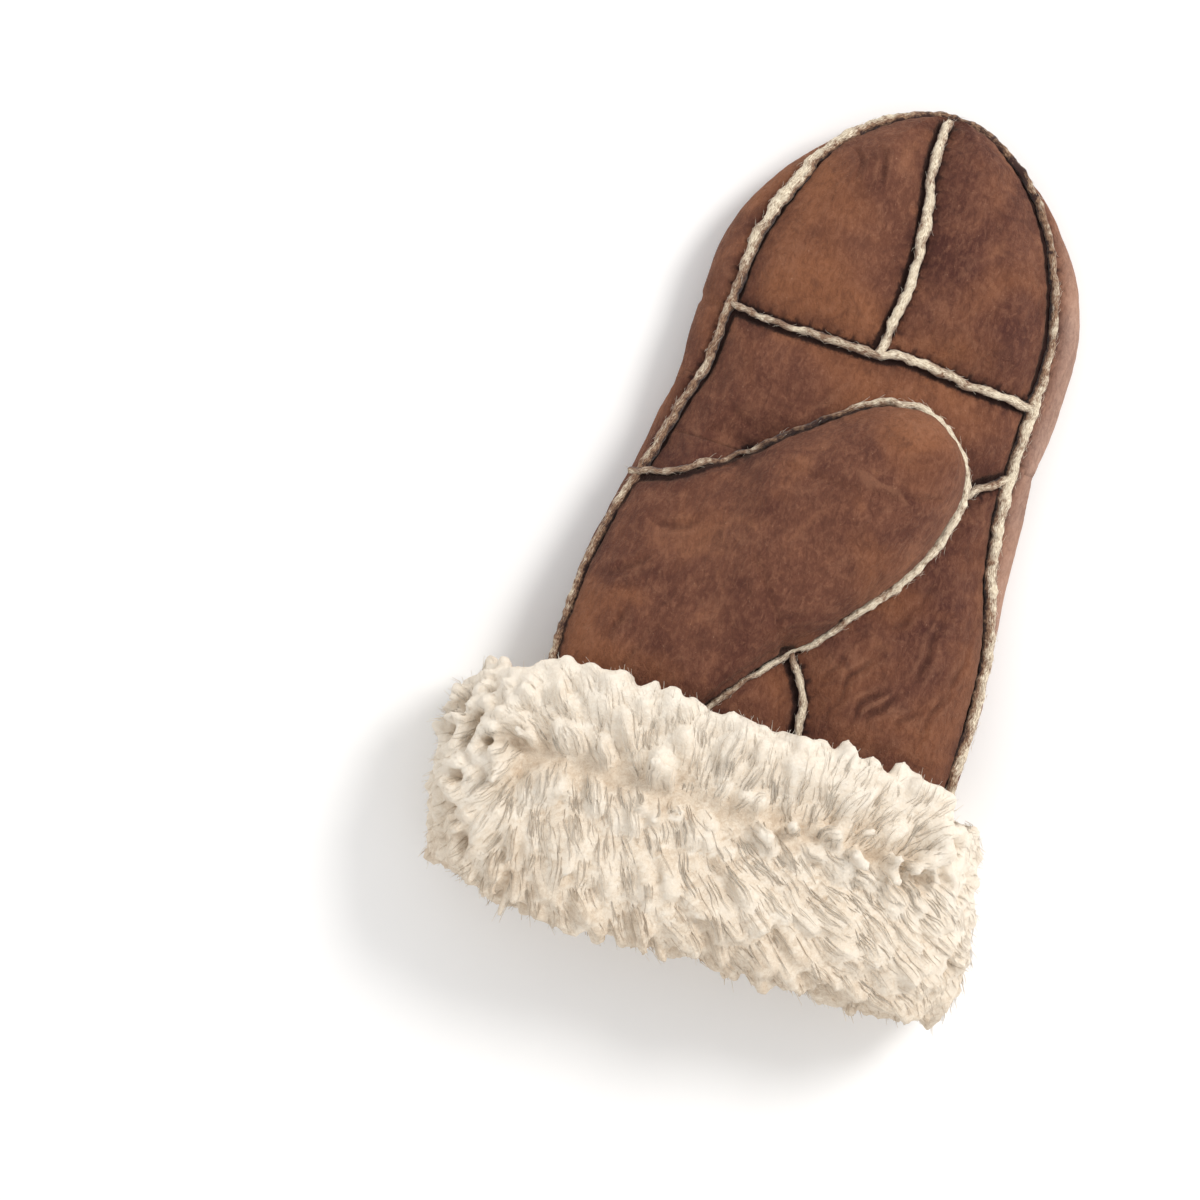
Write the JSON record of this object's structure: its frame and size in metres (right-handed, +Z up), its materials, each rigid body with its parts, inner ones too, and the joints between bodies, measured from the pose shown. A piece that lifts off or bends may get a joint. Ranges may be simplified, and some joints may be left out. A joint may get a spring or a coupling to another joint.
{
  "type": "leather mitten",
  "caption": "Sheepskin mitten for the left hand, suede side out, lying palm up with its thumb across the palm and its deep fleece cuff turned back.",
  "frame": {"origin": "on the surface that the mitten lies on, under the middle of its box", "axes": "+Y to the fingertips, +Z up out of the palm, +X away from the thumb's side"},
  "size_m": [0.1656, 0.2676, 0.0621],
  "materials": {
    "suede": "brown napped suede, lighter and worn along the seams",
    "seam_wool": "cream wool fibre pressed into the raised seams",
    "fleece": "cream sheep's fleece in matt wavy locks"
  },
  "bodies": {
    "root": {"palm_tip_left": "suede", "palm_tip_right": "suede", "palm_mid": "suede", "palm_low": "suede", "palm_wedge": "suede", "thumb_outer": "suede", "thumb_inner": "suede", "back_tip_left": "suede", "back_tip_right": "suede", "back_hand_left": "suede", "back_hand_right": "suede", "side_seam": "seam_wool", "palm_cross_seam": "seam_wool", "palm_centre_seam": "seam_wool", "palm_low_cross_seam": "seam_wool", "thumb_seam": "seam_wool", "thumb_base_seam": "seam_wool", "back_centre_seam": "seam_wool", "back_cross_seam_left": "seam_wool", "back_cross_seam_right": "seam_wool", "cuff_seam": "seam_wool", "cuff_leather": "suede", "cuff_fleece": "fleece", "mouth_fleece": "fleece"}
  },
  "joints": []
}
